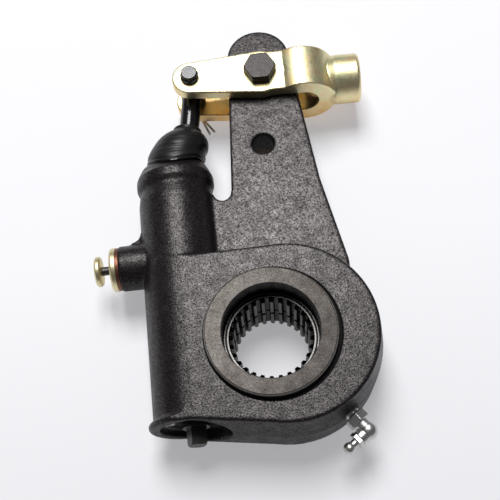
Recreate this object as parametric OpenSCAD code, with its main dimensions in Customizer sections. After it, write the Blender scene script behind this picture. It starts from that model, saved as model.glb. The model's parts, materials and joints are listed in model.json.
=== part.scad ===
// Automatic brake slack adjuster, lying on its side.
// The spline axis is Z, the worm runs along Y and the arm leans from +Y towards +X.

/* [Housing] */
// Half thickness of the cast body round the gear
body_half = 19.1; // [18.8:0.1:19.8]
// Radius of the lobe at its upper face
lobe_r = 41.7; // [40:0.1:44]
// Lobe centre, across from the spline axis
lobe_x = 7; // [5:0.5:9]
// Lobe centre, along the worm from the spline axis
lobe_y = 0.2; // [-1:0.1:1]
// How far the parting line stands out past the upper face
parting_out = 2.3; // [0.5:0.1:3]
// How far the lower face stands out past the upper face
lower_out = 1.8; // [0:0.1:2.2]
// Outside radius of the worm tube
tube_r = 18.6; // [17.5:0.1:19]
// How far the tube draws in at the neck below its lip
neck_in = 0.9; // [0.5:0.1:1.2]
// Length of that neck
neck_len = 9; // [7:0.5:11]
// How far the lip stands out past the tube
lip_out = 0.5; // [0.2:0.1:1]
// Width of the lip
lip_w = 4; // [3:0.1:5]
// Length of the round shoulder between lip and boot
shoulder_len = 9.5; // [8:0.1:10]
// Distance from the spline axis to the tube's shoulder
tube_top = 98.5; // [96:0.5:101]
// Length of the spigot that holds the boot
spigot_len = 5; // [4:0.5:6]
// Wall of that spigot
spigot_wall = 0.8; // [0.7:0.1:1.2]
// Distance from the spline axis down to the worm pocket's rim
rim_drop = 34.8; // [34:0.1:37]
// Radius of that rim
rim_r = 21.2; // [20.5:0.1:22]
// Width of that rim
rim_w = 4.4; // [3:0.1:6]
// Radius of the worm pocket
pocket_r = 16; // [15:0.1:17]
// Distance from the spline axis down to the pocket's floor
pocket_drop = 28; // [27.5:0.1:29]
// Bore of the worm tube
worm_bore_r = 12; // [11.8:0.05:12.4]

/* [Arm] */
// Spline axis to clevis bolt, the arm's working length
arm_len = 139.7; // [133:0.1:146]
// Lean of the arm from the worm's direction, in degrees
arm_lean = 4.285; // [2:0.1:6]
// Thickness of the arm
arm_t = 15.2; // [12:0.1:15.4]
// Half width of the arm and radius of its round end
arm_half = 15.8; // [14.5:0.1:17]
// Spline axis to the centre of the round end
arm_end = 153; // [151:0.5:156]
// How far the arm's outline lies to the left of its bolt and gauge hole
arm_shift = 0.8; // [0:0.1:1]
// Extra half width of the arm's right edge where it nears the lobe
arm_flare = 23; // [20:0.5:24]
// Extra half width of that edge half way down the arm
arm_mid_flare = 12; // [11:0.1:13]
// Spline axis to that half-way point
arm_mid_at = 81; // [78:0.5:84]
// Spline axis to the gauge hole
gauge_hole_at = 101.8; // [96:0.1:108]
// Radius of the gauge hole
gauge_hole_r = 5.3; // [4:0.1:6]
// Spline axis to the bottom of the slot between tube and arm
slot_bottom = 73; // [70:0.5:76]
// Width of that slot at its bottom
slot_w = 8.4; // [7:0.1:8.5]

/* [Gear] */
// Length of the gear along the spline axis
gear_len = 44.6; // [43:0.1:46]
// Radius of the gear's two end rings
ring_r = 29.9; // [29.4:0.1:30.2]
// Radius of the housing's bore for the gear
gear_bore_r = 31.4; // [31.2:0.1:32]
// Number of worm teeth
gear_teeth = 26; // [24:1:28]
// Half width of the toothed rim
tooth_half = 9.2; // [8.5:0.1:9.4]
// Radius of the plain counterbore
counterbore_r = 22; // [20.5:0.1:23]
// Depth of the plain counterbore
counterbore_depth = 12; // [9:0.5:14]
// Chamfer of the end rings and of the spline's two mouths
gear_chamfer = 0.8; // [0.4:0.1:1.2]
// Spline major radius, at the bottom of the grooves
spline_major_r = 19.05; // [18.6:0.05:19.5]
// Spline minor radius, at the tips of the teeth
spline_minor_r = 17.35; // [17:0.05:17.8]
// Number of spline teeth
spline_teeth = 28; // [24:1:30]
// Width of the grease groove round the spline
grease_groove_w = 2.4; // [1.5:0.1:4]
// Length of each gear bush
bush_len = 7; // [5:0.1:8]
// Thickness of each gear seal
seal_t = 1.6; // [1:0.1:2]

/* [Worm] */
// Worm axis from the spline axis
worm_offset = 38; // [37.8:0.1:38.3]
// Pitch radius of the worm
worm_pitch_r = 9.4; // [9.2:0.1:9.5]
// Length of the thread
thread_len = 36; // [30:1:38]
// Play between worm and gear teeth, on both flanks together
tooth_play = 0.7; // [0.5:0.05:0.9]
// Thickness of the worm's two running collars
collar_t = 5; // [4:0.1:6]
// Radius of the worm's lower shank
shank_r = 6.2; // [5.5:0.1:6.6]
// Across flats of the adjusting square
square_af = 7.2; // [6.6:0.1:8]
// Distance from the spline axis down to the square's tip
square_drop = 42.5; // [41.5:0.1:45]
// Length of the adjusting square
square_len = 8; // [6:0.1:9]
// Root radius of the splined upper shaft
shaft_r = 5.4; // [5:0.1:5.6]
// Height of the keys on the upper shaft
key_h = 1.4; // [1.2:0.1:1.6]
// Width of each key
key_w = 2.6; // [2:0.1:3]
// Distance from the spline axis to the upper shaft's end
shaft_top = 49; // [46:0.5:50]
// Thickness of the worm's thrust washer
thrust_t = 1.6; // [1:0.1:2]
// Width of the seal round the lower shank
worm_seal_w = 3; // [2.5:0.1:4]
// Thickness of the pocket's cover plate
cover_t = 2.4; // [2:0.1:2.6]
// Thickness of the cover's retaining ring
cover_ring_t = 1.2; // [1:0.1:1.4]

/* [Actuator] */
// Tip radius of the sleeve's helical teeth
sleeve_r = 11.5; // [11.3:0.05:11.6]
// Depth of those teeth
sleeve_tooth = 1.1; // [0.8:0.1:1.2]
// Number of those teeth
sleeve_teeth = 20; // [16:1:24]
// Axial length of one turn of those teeth
sleeve_lead = 110; // [80:1:150]
// Distance from the spline axis to the sleeve's lower end
sleeve_from = 30.5; // [29.5:0.5:32]
// Distance from the spline axis to the end of the toothed part
sleeve_teeth_to = 60; // [58:0.5:62]
// Distance from the spline axis to the sleeve's upper end
sleeve_to = 82.5; // [81.5:0.5:84]
// Inside radius of the sleeve's cup
cup_r = 8.6; // [8.2:0.05:8.8]
// Distance from the spline axis to the cup's floor
cup_floor = 51.5; // [50.5:0.5:53]
// Thickness of the ring that keeps the piston in
piston_ring_t = 1.2; // [1:0.1:1.4]
// Travel left between the piston's head and that ring
piston_room = 9; // [8.8:0.1:9.5]
// Thickness of the piston's head
piston_head_t = 7; // [5:0.1:8]
// Distance from the spline axis to the underside of the piston's head
piston_head_at = 62.6; // [62:0.1:63]
// Radius of the piston's stem
stem_r = 6.2; // [6:0.1:6.4]
// Spline axis to the piston pin, along the worm
piston_pin_at = 85; // [84:0.1:86]
// Radius of the piston pin
piston_pin_r = 2.5; // [2:0.1:2.6]
// Thickness of the rod's lower eye
rod_eye_t = 5.8; // [5:0.1:6]
// Radius of the rod's lower eye
rod_eye_r = 5.2; // [4.8:0.1:5.3]
// Length of the flat neck above that eye
rod_neck_len = 3.8; // [3.5:0.1:4.5]
// Radius of the rod
rod_r = 4.9; // [4.4:0.1:5.2]
// Radius of the rod's upper eye
rod_top_r = 6.4; // [5.8:0.1:6.8]

/* [Boot] */
// Wall of the rubber boot
boot_wall = 0.9; // [0.8:0.1:1.1]
// Height of the boot above the tube's spigot
boot_h = 16; // [15:0.5:17]
// Outside radius of the boot's lower bulge
bulge_r = 13.8; // [13.5:0.1:14.4]
// Outside radius of the boot's upper bulge
upper_bulge_r = 12.9; // [12.4:0.1:13.4]
// Outside radius of the waist between them
waist_r = 12.5; // [12:0.1:12.8]
// Outside radius of the boot's neck on the rod
neck_r = 6.5; // [6.3:0.1:7]
// Width of the clamp round the boot's foot
clamp_w = 1.2; // [0.8:0.1:1.6]
// Thickness of that clamp
clamp_t = 0.4; // [0.3:0.1:0.8]

/* [Pawl] */
// Pawl axis from the spline axis, along the worm
pawl_at = 46.1; // [44:0.1:50]
// Radius of the cast boss round the pawl
boss_r = 10.9; // [10.7:0.1:12]
// Fillet between boss and tube, on the arm's side
boss_fillet = 4.5; // [3:0.1:6]
// Spline axis to the boss's end face
boss_end = 67.5; // [66.5:0.1:69]
// Bore of the boss
pawl_bore_r = 7.2; // [7:0.1:7.6]
// Length of the pawl's plunger
plunger_len = 7.6; // [7:0.1:8]
// Depth of the pawl's teeth
pawl_tooth = 0.9; // [0.6:0.1:1]
// Thickness of the gasket under the cap
gasket_t = 1.5; // [1:0.1:2]
// Radius of the cap's flange
cap_r = 10.5; // [10:0.1:11]
// Thickness of the cap's flange
cap_t = 2.9; // [2:0.1:3.5]
// Length of the cap's plug inside the boss
plug_len = 6.6; // [5.5:0.1:6.8]
// Radius of the pull stem
pull_stem_r = 2.1; // [1.6:0.1:2.4]
// Radius of the pull button
button_r = 7.3; // [6.5:0.1:8]
// Chamfer of cap and button
cap_chamfer = 0.8; // [0.4:0.1:1]
// Thickness of the pull button
button_t = 3; // [2.4:0.1:4]
// Gap between cap and button at rest
button_gap = 4.6; // [4:0.1:6]
// Radius of the spring's wire
spring_wire_r = 0.55; // [0.4:0.05:0.6]
// Turns of the spring
spring_turns = 5; // [4:1:6]

/* [Clevis] */
// Angle of the clevis in the rest position, in degrees
clevis_turn = -1.8; // [-4:0.1:0]
// Gap between the fork's plates
fork_gap = 15.9; // [15.8:0.1:16.6]
// Thickness of each plate
plate_t = 6.35; // [5.5:0.05:7]
// Half width of the plates at the bolt
plate_half = 12.2; // [11.4:0.1:13]
// Bolt to link pin
pin_reach = 35.6; // [34:0.1:38]
// Radius of the plates' free ends
plate_end_r = 9; // [8:0.1:10]
// Bolt to the centre of the fork's round base
fork_base_at = 21; // [20.5:0.5:23]
// Outside radius of the fork's round base
fork_base_r = 17; // [16.4:0.1:18]
// Half width of the fork's base
fork_base_half = 11.3; // [10.5:0.1:12]
// Radius of the threaded collar
collar_r = 12.6; // [12:0.1:13]
// Chamfer of the collar's free end
collar_chamfer = 1.2; // [0.8:0.1:1.6]
// Bolt to the collar's free end
collar_end = 50.8; // [49:0.1:54]
// Core radius of the push rod thread
thread_r = 7.3; // [6.8:0.1:7.6]
// Shank radius of the clevis bolt
bolt_r = 4.76; // [4.4:0.02:5]
// Across flats of the bolt's head and nut
bolt_af = 14.3; // [13.5:0.1:15]
// Height of the bolt's head
bolt_head_h = 5.4; // [4.8:0.1:6.4]
// Height of the nut
nut_h = 6.4; // [5:0.1:7]
// How much is turned off the corners of every hexagon
hex_bevel = 0.6; // [0.4:0.1:1]
// Outside radius of the arm's bush
arm_bush_r = 6.35; // [6:0.05:6.8]
// Shank radius of the link pin
link_pin_r = 3.1; // [2.8:0.1:3.4]
// Radius of the link pin's collar
link_collar_r = 4.7; // [4.4:0.1:5.2]
// Thickness of the link pin's collar
link_collar_t = 1.8; // [1.2:0.1:2.4]
// Across flats of the link pin's hexagon
link_af = 7.6; // [7:0.1:8.2]
// Height of the link pin's hexagon
link_hex_h = 3; // [2:0.1:4]
// Wire radius of the cotter pin
cotter_r = 0.8; // [0.6:0.05:0.9]
// Length of its spread legs
cotter_leg = 14; // [8:0.5:15]
// Angle between each leg and the pin's shank, in degrees
cotter_spread = 6; // [4:1:10]

/* [Grease fitting] */
// Direction of the fitting out of the wall, in degrees from +X
fitting_angle = -53.9; // [-57:0.1:-50]
// Place on the lobe where it comes out, in degrees from +X
fitting_at = -56; // [-60:0.1:-52]
// Radius of the fitting's body
fitting_r = 4.3; // [4:0.1:4.8]
// Lobe wall to the elbow
fitting_reach = 10.2; // [9:0.1:11]
// Length of the hexagon on the fitting's body
fitting_hex_h = 4.2; // [3:0.1:5]
// Depth of the fitting's thread in the wall
fitting_depth = 6; // [5:0.1:7]
// Radius of the nipple's ball end
nipple_r = 2.7; // [2.3:0.1:3]
// Elbow to the nipple's ball end
nipple_reach = 11.6; // [11:0.1:13]

/* [Fits] */
// Radial clearance of turning and sliding fits
run_gap = 0.06; // [0.03:0.01:0.09]
// Clearance between faces that move past each other
free_gap = 0.35; // [0.3:0.05:0.5]
// Clearance of pieces seated in the same body
seat_gap = 0.02; // [0.01:0.005:0.04]
// Clearance at the piston pin, where the closed linkage is opened
link_gap = 0.7; // [0.65:0.05:0.8]

/* [Hidden] */

$fn = 96;
over = 1;                                   // cutting tools reach this far past a face
wall_inset = 0.15;                          // straight walls lie this far inside the round walls they meet
touch = 0.01;                               // pieces of one solid overlap at least this much

// Pinions, worms and splines
pitch_r = worm_offset - worm_pitch_r;
tooth_module = 2 * pitch_r / gear_teeth;
lead = PI * tooth_module;
lead_angle = atan(lead / (2 * PI * worm_pitch_r));
pressure_angle = 20;
addendum = 0.9 * tooth_module;
dedendum = 1.15 * tooth_module;
base_r = pitch_r * cos(pressure_angle);
tooth_half_w = (lead - tooth_play) / 4;     // half a tooth's width on the pitch line
tooth_relief = 0.2;                         // gap between the toothed rim and the end rings
grease_groove_r = spline_major_r + 0.3;
gear_seal_at = body_half - seal_t - 1;      // the seals lie a little below the faces

// Arm and clevis
bolt_x = arm_len * sin(arm_lean);
bolt_y = arm_len * cos(arm_lean);
fork_half = fork_gap / 2;
clevis_half = fork_half + plate_t;
pin_x = bolt_x - pin_reach * cos(clevis_turn);
pin_y = bolt_y - pin_reach * sin(clevis_turn);
bolt_tip = clevis_half + nut_h + 1.5;       // the bolt's tip stands a little out of its nut
bolt_chamfer = 1;
cotter_drop = clevis_half + 2 * cotter_r + 1.2;
cotter_turn = -62;
cotter_eye_r = 2.75 * cotter_r;
spot_face_r = plate_half + 0.6;

// Rod between piston pin and link pin
rod_dx = pin_x + worm_offset;
rod_dy = pin_y - piston_pin_at;
rod_len = sqrt(rod_dx * rod_dx + rod_dy * rod_dy);
rod_lean = atan2(rod_dx, rod_dy);
rod_neck = rod_eye_r + rod_neck_len;        // the round shank starts clear of the piston's fork
rod_bore_r = link_pin_r + run_gap;
rod_chamfer = 1;

// Worm tube
spigot_r = worm_bore_r + spigot_wall;
boot_foot_r = spigot_r + boot_wall;
boot_foot = tube_top + 0.1;
boot_foot_to = tube_top + spigot_len;
clamp_lift = 0.8;
lip_r = tube_r + lip_out;
lip_top = tube_top - shoulder_len;
lip_low = lip_top - lip_w;
rim_bevel = 1;

// Ring that keeps the piston in the sleeve's cup
piston_ring_at = piston_head_at + piston_head_t + piston_room;
piston_groove = 0.9;                        // depth of that ring's groove

// Worm stack, measured down from the spline axis
thread_half = thread_len / 2;
collar_drop = thread_half + collar_t;
cover_drop = pocket_drop + cover_t;
cover_groove = 0.8;                         // depth of the retaining ring's groove
cover_ring_w = 2.9;
ear_r = 3;
ear_hole_r = 1.1;
worm_seal_r = shank_r + worm_seal_w;
square_turn = 22;

// Pawl stack, measured outward from the spline axis
pawl_tip = worm_offset + sleeve_r + free_gap;
plunger_end = pawl_tip + plunger_len;
cap_seat = boss_end + gasket_t;
cap_face = cap_seat + cap_t;
plug_end = boss_end - plug_len;
spring_cup_r = pawl_bore_r - 1.7;
spring_seat = cap_seat - 2.2;
button_skin = 1;                            // left closed over the stem's end
button_face = cap_face + button_gap;
gasket_r = cap_r - 0.2;
spring_mean_r = spring_cup_r - spring_wire_r - 0.4;

// Grease fitting, on the parting line of the lobe
wall_r = lobe_r + parting_out;
fitting_x = lobe_x + wall_r * cos(fitting_at);
fitting_y = lobe_y + wall_r * sin(fitting_at);
fitting_thread_r = fitting_r - 0.8;
fitting_neck_r = fitting_r - 0.6;
fitting_af = 2.2 * fitting_r;
fitting_hex_at = 1.2;
elbow_end = fitting_r + 1.2;
nipple_from = elbow_end + seat_gap;
nipple_af = 2 * nipple_r + 1.6;
nipple_hex_h = 2;
nipple_neck_r = 0.7 * nipple_r;
check_r = nipple_r / 3;

// Helper frames
module in_arm() { rotate([0, 0, -arm_lean]) children(); }

module in_clevis() { translate([bolt_x, bolt_y, 0]) rotate([0, 0, clevis_turn]) children(); }

module along_clevis(at) { in_clevis() translate([at, 0, 0]) rotate([0, 90, 0]) children(); }

module along_worm(at = 0) { translate([-worm_offset, at, 0]) rotate([-90, 0, 0]) children(); }

module in_rod() { translate([-worm_offset, piston_pin_at, 0]) rotate([0, 0, -rod_lean]) children(); }

module along_rod(at) { in_rod() translate([0, at, 0]) rotate([-90, 0, 0]) children(); }

module along_pawl(at) { translate([-at, pawl_at, 0]) rotate([0, -90, 0]) children(); }

module along_fitting(at) {
    translate([fitting_x, fitting_y, 0]) rotate([0, 0, fitting_angle])
        translate([at, 0, 0]) rotate([0, 90, 0]) children();
}

module along_nipple(at) {
    translate([fitting_x, fitting_y, 0]) rotate([0, 0, fitting_angle])
        translate([fitting_reach, -at, 0]) rotate([90, 0, 0]) children();
}

module both_faces() {
    children();
    mirror([0, 0, 1]) children();
}

// Helper shapes
module tube(outer, inner, h) {
    difference() {
        cylinder(r = outer, h = h);
        translate([0, 0, -over]) cylinder(r = inner, h = h + 2 * over);
    }
}

module hexagon(af, h) { cylinder(d = af / cos(30), h = h, $fn = 6); }

// A cylinder with a chamfer at its upper end
module chamfered(r, h, chamfer) {
    cylinder(r = r, h = h - chamfer);
    translate([0, 0, h - chamfer]) cylinder(r1 = r, r2 = r - chamfer, h = chamfer);
}

// A hexagon with its upper corners turned off
module hex_head(af, h) {
    corner = af / 2 / cos(30) + touch;
    intersection() {
        hexagon(af, h);
        chamfered(corner, h, hex_bevel);
    }
}

// The outline round two circles and, just inside, their common tangents
module belt(a, ra, b, rb) {
    inset = 0.05;
    reach = norm(b - a);
    spread = acos((ra - rb) / reach);
    turn = atan2(b[1] - a[1], b[0] - a[0]);
    translate(a) circle(r = ra);
    translate(b) circle(r = rb);
    polygon([
        a + (ra - inset) * [cos(turn + spread), sin(turn + spread)],
        b + (rb - inset) * [cos(turn + spread), sin(turn + spread)],
        b + (rb - inset) * [cos(turn - spread), sin(turn - spread)],
        a + (ra - inset) * [cos(turn - spread), sin(turn - spread)]]);
}

// A closed tube of round section along a helix, about +Z
module coil(mean_r, wire_r, length, turns) {
    sides = 8;
    steps = 18 * turns;
    pitch = (length - 2 * wire_r) / turns;
    points = [for (i = [0 : steps], j = [0 : sides - 1])
        let (a = 360 * turns * i / steps, b = 360 * j / sides, r = mean_r + wire_r * cos(b))
        [r * cos(a), r * sin(a), wire_r + pitch * turns * i / steps + wire_r * sin(b)]];
    walls = [for (i = [0 : steps - 1], j = [0 : sides - 1])
        let (k = (j + 1) % sides)
        [i * sides + j, (i + 1) * sides + j, (i + 1) * sides + k, i * sides + k]];
    first = [for (j = [0 : sides - 1]) j];
    last = [for (j = [sides - 1 : -1 : 0]) steps * sides + j];
    polyhedron(points, concat(walls, [first, last]));
}

// Section of the cast wall, with its draft above and below the parting line. It runs from reach inside
// the upper edge outward, and past both faces, where the lobe is cut flat.
module wall_section(reach) {
    tall = 1.2;
    polygon([
        [-reach, -tall * body_half],
        [parting_out + tall * (lower_out - parting_out), -tall * body_half],
        [parting_out, 0],
        [parting_out * (1 - tall), tall * body_half],
        [-reach, tall * body_half]]);
}

// A straight cast wall from a to b, with its outer side on the right hand
module cast_wall(a, b, reach) {
    turn = atan2(b[1] - a[1], b[0] - a[0]);
    translate(a) rotate([0, 0, turn]) rotate([90, 0, 90])
        linear_extrude(norm(b - a)) mirror([1, 0]) wall_section(reach);
}

// Cast lobe round the gear, with straight walls that run to the worm tube
module lobe() {
    centre = [lobe_x, lobe_y];
    low_left = [-worm_offset, -rim_drop];
    fall = atan2(centre[1] - low_left[1], centre[0] - low_left[0])
        - asin(lobe_r / norm(centre - low_left));
    low_touch = centre + (lobe_r - wall_inset) * [sin(fall), -cos(fall)];
    top_touch = centre + [0, lobe_r - wall_inset];
    top_left = [-worm_offset, top_touch[1]];
    reach = lobe_r / 2;
    room = 3 * lobe_r;
    intersection() {
        union() {
            translate(centre) rotate_extrude() translate([lobe_r, 0]) wall_section(reach);
            cast_wall(low_left, low_touch, reach);
            cast_wall(top_touch, top_left, reach);
            linear_extrude(3 * body_half, center = true)
                polygon([low_left + [0, over], low_touch + [0, over], centre,
                         top_touch - [0, over], top_left - [0, over]]);
        }
        translate([-room, -room, -body_half]) cube([2 * room, 2 * room, 2 * body_half]);
    }
}

// Worm tube: chamber beside the lobe, plain tube, neck, lip, shoulder and boot spigot
module worm_tube() {
    chamber_top = lobe_y + lobe_r;
    shoulder = [[0.3, 0.42], [0.6, 0.78], [1, 1]];      // shares of its drop and of its length
    drop = lip_r - boot_foot_r;
    along_worm(-rim_drop + rim_w / 2)
        cylinder(r = body_half - wall_inset, h = chamber_top + rim_drop - rim_w / 2);
    along_worm() rotate_extrude() polygon(concat(
        [[0, 0], [tube_r, 0], [tube_r, lip_low - neck_len], [tube_r - neck_in, lip_low - neck_len / 3],
         [lip_r, lip_low], [lip_r, lip_top]],
        [for (s = shoulder) [lip_r - s[0] * drop, lip_top + s[1] * shoulder_len]],
        [[spigot_r, tube_top], [spigot_r, boot_foot_to], [0, boot_foot_to]]));
    intersection() {
        along_worm(-rim_drop) rotate_extrude() polygon([
            [0, 0], [rim_r - rim_bevel, 0], [rim_r, rim_bevel], [rim_r, rim_w - 1.6 * rim_bevel],
            [body_half - rim_bevel, rim_w], [0, rim_w]]);
        translate([-worm_offset - rim_r - over, -rim_drop - over, -body_half])
            cube([2 * rim_r + 2 * over, rim_w + 2 * over, 2 * body_half]);
    }
}

// Flat arm, with a round end and a right edge that flares out to the lobe
module arm() {
    half = arm_half - wall_inset;
    low = 0.9 * lobe_r;
    in_arm() translate([-arm_shift, 0, 0]) linear_extrude(arm_t, center = true) {
        translate([0, arm_end]) circle(r = arm_half);
        polygon([
            [-half, lobe_y],
            [-half, arm_end],
            [half, arm_end],
            [arm_half + arm_mid_flare, arm_mid_at],
            [arm_half + arm_flare, low],
            [arm_half + arm_flare, lobe_y]]);
    }
}

// Web between tube and arm, a little thinner than the arm, with a round-bottomed slot above it
module slot_web() {
    top = slot_bottom + slot_w / 2;
    slot_x = tube_r + slot_w / 2 - worm_offset;
    difference() {
        linear_extrude(arm_t - 2 * wall_inset, center = true)
            polygon([[-worm_offset, lobe_y], [0, lobe_y], [0, top], [-worm_offset, top]]);
        translate([slot_x, top, -arm_t]) cylinder(d = slot_w, h = 2 * arm_t);
    }
}

// Boss for the pawl, with a fillet to the tube on the arm's side
module pawl_boss() {
    side = -worm_offset - tube_r - boss_fillet;
    top = pawl_at + boss_r + boss_fillet;
    along_pawl(worm_offset) cylinder(r = boss_r, h = boss_end - worm_offset);
    difference() {
        translate([side, pawl_at, -boss_r / 2]) cube([boss_fillet + tube_r / 2, top - pawl_at, boss_r]);
        translate([side, top, -boss_r]) cylinder(r = boss_fillet, h = 2 * boss_r);
    }
}

// Grease way from the fitting to the gear
module grease_way() {
    reach = wall_r + lobe_x - gear_bore_r;
    along_fitting(-fitting_depth) cylinder(r = fitting_thread_r, h = fitting_depth + fitting_reach);
    along_fitting(-reach) cylinder(r = fitting_thread_r / 2, h = reach);
}

module housing_holes() {
    worm_len = boot_foot_to + pocket_drop;
    groove_w = cover_ring_t + 2 * seat_gap;
    cylinder(r = gear_bore_r, h = 4 * body_half, center = true);
    along_worm(-pocket_drop - over) cylinder(r = worm_bore_r, h = worm_len + 2 * over);
    along_worm(-2 * rim_drop) cylinder(r = pocket_r, h = 2 * rim_drop - pocket_drop);
    along_worm(-cover_drop - groove_w) cylinder(r = pocket_r + cover_groove, h = groove_w);
    along_pawl(worm_offset) cylinder(r = pawl_bore_r, h = boss_end - worm_offset + over);
    grease_way();
    in_arm() {
        translate([0, arm_len, -arm_t]) cylinder(r = arm_bush_r + seat_gap, h = 2 * arm_t);
        translate([0, gauge_hole_at, -arm_t]) cylinder(r = gauge_hole_r, h = 2 * arm_t);
    }
}

module housing() {
    color("#2b2a2c") difference() {
        union() {
            lobe();
            worm_tube();
            arm();
            slot_web();
            pawl_boss();
        }
        housing_holes();
    }
}

module arm_bush() {
    color("#8d8a80") in_arm() translate([0, arm_len, -arm_t / 2])
        tube(arm_bush_r, bolt_r + run_gap, arm_t);
}

// Half width of a gear tooth, as an angle, at radius r on the involute
function involute(a) = tan(a) * 180 / PI - a;
function tooth_angle(r) = tooth_half_w / pitch_r * 180 / PI + involute(pressure_angle)
    - involute(acos(min(1, base_r / r)));

module gear_tooth() {
    root = pitch_r - dedendum;
    tip = pitch_r + addendum;
    past = 0.4;                                 // the flanks run this far past the tip, which is turned off
    flank = [for (i = [0 : 4]) base_r + (tip + past - base_r) * i / 4];
    right = [for (r = flank) r * [cos(tooth_angle(r)), sin(tooth_angle(r))]];
    left = [for (i = [4 : -1 : 0]) [right[i][0], -right[i][1]]];
    foot = [root - over, right[0][1]];
    polygon(concat([[foot[0], -foot[1]], foot], right, left));
}

module gear_rim() {
    intersection() {
        for (i = [0 : gear_teeth - 1])
            rotate([0, 0, 180 + 360 * i / gear_teeth]) rotate([-lead_angle, 0, 0])
                linear_extrude(3 * tooth_half, center = true) gear_tooth();
        cylinder(r = pitch_r + addendum, h = 2 * tooth_half, center = true);
    }
}

// One groove of the camshaft spline
module spline_groove() {
    pitch = 2 * PI * spline_major_r / spline_teeth;
    in = spline_minor_r - over;
    floor_half = 0.2 * pitch;
    mouth_half = 0.34 * pitch;
    polygon([
        [in, -mouth_half], [spline_major_r, -floor_half], [spline_major_r, floor_half], [in, mouth_half]]);
}

module spline_cut() {
    top = gear_len / 2 - counterbore_depth;
    mouth_r = spline_major_r + gear_chamfer / 2;
    mouth_h = 2 * gear_chamfer;
    translate([0, 0, -gear_len]) cylinder(r = spline_minor_r, h = 2 * gear_len);
    translate([0, 0, -gear_len]) linear_extrude(gear_len + top + touch)
        for (i = [0 : spline_teeth - 1]) rotate(360 * i / spline_teeth) spline_groove();
    translate([0, 0, top - mouth_h]) cylinder(r1 = spline_minor_r, r2 = mouth_r, h = mouth_h + touch);
    translate([0, 0, top]) cylinder(r = counterbore_r, h = gear_len);
    translate([0, 0, -gear_len / 2 - touch]) cylinder(r1 = mouth_r, r2 = spline_minor_r, h = mouth_h);
    translate([0, 0, top / 2 - gear_len / 4 - grease_groove_w / 2])
        cylinder(r = grease_groove_r, h = grease_groove_w);
}

module worm_gear() {
    ring_len = gear_len / 2 - tooth_half - tooth_relief;
    root = pitch_r - dedendum;
    color("#8f897c") difference() {
        union() {
            gear_rim();
            cylinder(r = root, h = gear_len - 2 * over, center = true);
            both_faces() translate([0, 0, gear_len / 2 - ring_len]) chamfered(ring_r, ring_len, gear_chamfer);
        }
        spline_cut();
    }
}

module gear_bush() {
    translate([0, 0, gear_seal_at - bush_len]) tube(gear_bore_r - seat_gap, ring_r + run_gap, bush_len);
}

module gear_seal() {
    translate([0, 0, gear_seal_at + seat_gap])
        tube(gear_bore_r - seat_gap, ring_r + run_gap, seal_t - seat_gap);
}

module upper_gear_bush() { color("#a98a52") gear_bush(); }

module lower_gear_bush() { color("#a98a52") mirror([0, 0, 1]) gear_bush(); }

module upper_gear_seal() { color("#18171a") gear_seal(); }

module lower_gear_seal() { color("#18171a") mirror([0, 0, 1]) gear_seal(); }

// Worm thread: its cross section, drawn from the axial rack profile, turned along the axis
function rack_r(a) = min(worm_pitch_r + addendum, max(worm_pitch_r - dedendum,
    worm_pitch_r + (tooth_half_w - abs(a)) / tan(pressure_angle)));

module worm_thread() {
    crest = tooth_half_w - addendum * tan(pressure_angle);
    foot = tooth_half_w + dedendum * tan(pressure_angle);
    rise = [for (i = [0 : 5]) foot + (crest - foot) * i / 5];
    top = [for (i = [1 : 2]) crest - 2 * crest * i / 3];
    fall = [for (i = [0 : 5]) -crest + (crest - foot) * i / 5];
    low = [for (i = [1 : 7]) -foot - (lead - 2 * foot) * i / 8];
    axial = concat(rise, top, fall, low);
    section = [for (a = axial) let (turn = 360 * a / lead) rack_r(a) * [cos(turn), sin(turn)]];
    turns = thread_len / lead;
    linear_extrude(thread_len, center = true, twist = -360 * turns, slices = round(24 * turns), $fn = 21)
        rotate(180 - 180 * turns) polygon([for (i = [len(section) - 1 : -1 : 0]) section[i]]);
}

// Round shaft with keys that drive the sleeve
module key_profile(gap) {
    circle(r = shaft_r + gap);
    for (i = [0 : 2]) rotate(60 * i) square([2 * (shaft_r + key_h + gap), key_w + 2 * gap], center = true);
}

module worm() {
    run_r = worm_bore_r - run_gap;
    square_from = square_drop - square_len;
    square_tip_r = 0.55 * square_af;
    color("#5d5a56") along_worm() {
        worm_thread();
        translate([0, 0, thread_half]) cylinder(r = run_r, h = collar_t);
        translate([0, 0, -collar_drop]) cylinder(r = run_r, h = collar_t);
        translate([0, 0, thread_half + collar_t]) linear_extrude(shaft_top - collar_drop) key_profile(0);
        translate([0, 0, -square_from]) cylinder(r = shank_r, h = square_from - collar_drop);
        rotate([0, 0, square_turn]) translate([0, 0, -square_drop]) intersection() {
            translate([-square_af / 2, -square_af / 2, 0]) cube([square_af, square_af, square_len + over]);
            cylinder(r1 = square_tip_r, r2 = square_tip_r + square_len, h = square_len + over);
        }
    }
}

module worm_thrust_washer() {
    room = pocket_drop - collar_drop;
    color("#a98a52") along_worm(-collar_drop - room / 2 - thrust_t / 2)
        tube(worm_bore_r - free_gap, shank_r + run_gap, thrust_t);
}

module worm_cover() {
    color("#4a4a4c") along_worm(-cover_drop) tube(pocket_r - seat_gap, worm_seal_r, cover_t - seat_gap);
}

module worm_seal() {
    color("#18171a") along_worm(-cover_drop)
        tube(worm_seal_r - seat_gap, shank_r + run_gap, cover_t - seat_gap);
}

// Open ring with two ears, sprung into the pocket's groove
module worm_retaining_ring() {
    outer = pocket_r + cover_groove - 5 * seat_gap;
    gap = 2.4 * ear_r;
    color("#8f8f92") along_worm(-cover_drop - cover_ring_t - seat_gap) difference() {
        union() {
            tube(outer, outer - cover_ring_w, cover_ring_t);
            for (side = [-1, 1]) translate([side * (outer - cover_ring_w - ear_r / 2), 0, 0])
                tube(ear_r, ear_hole_r, cover_ring_t);
        }
        translate([-gap / 2, 0, -over]) cube([gap, 2 * pocket_r, cover_ring_t + 2 * over]);
    }
}

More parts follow.
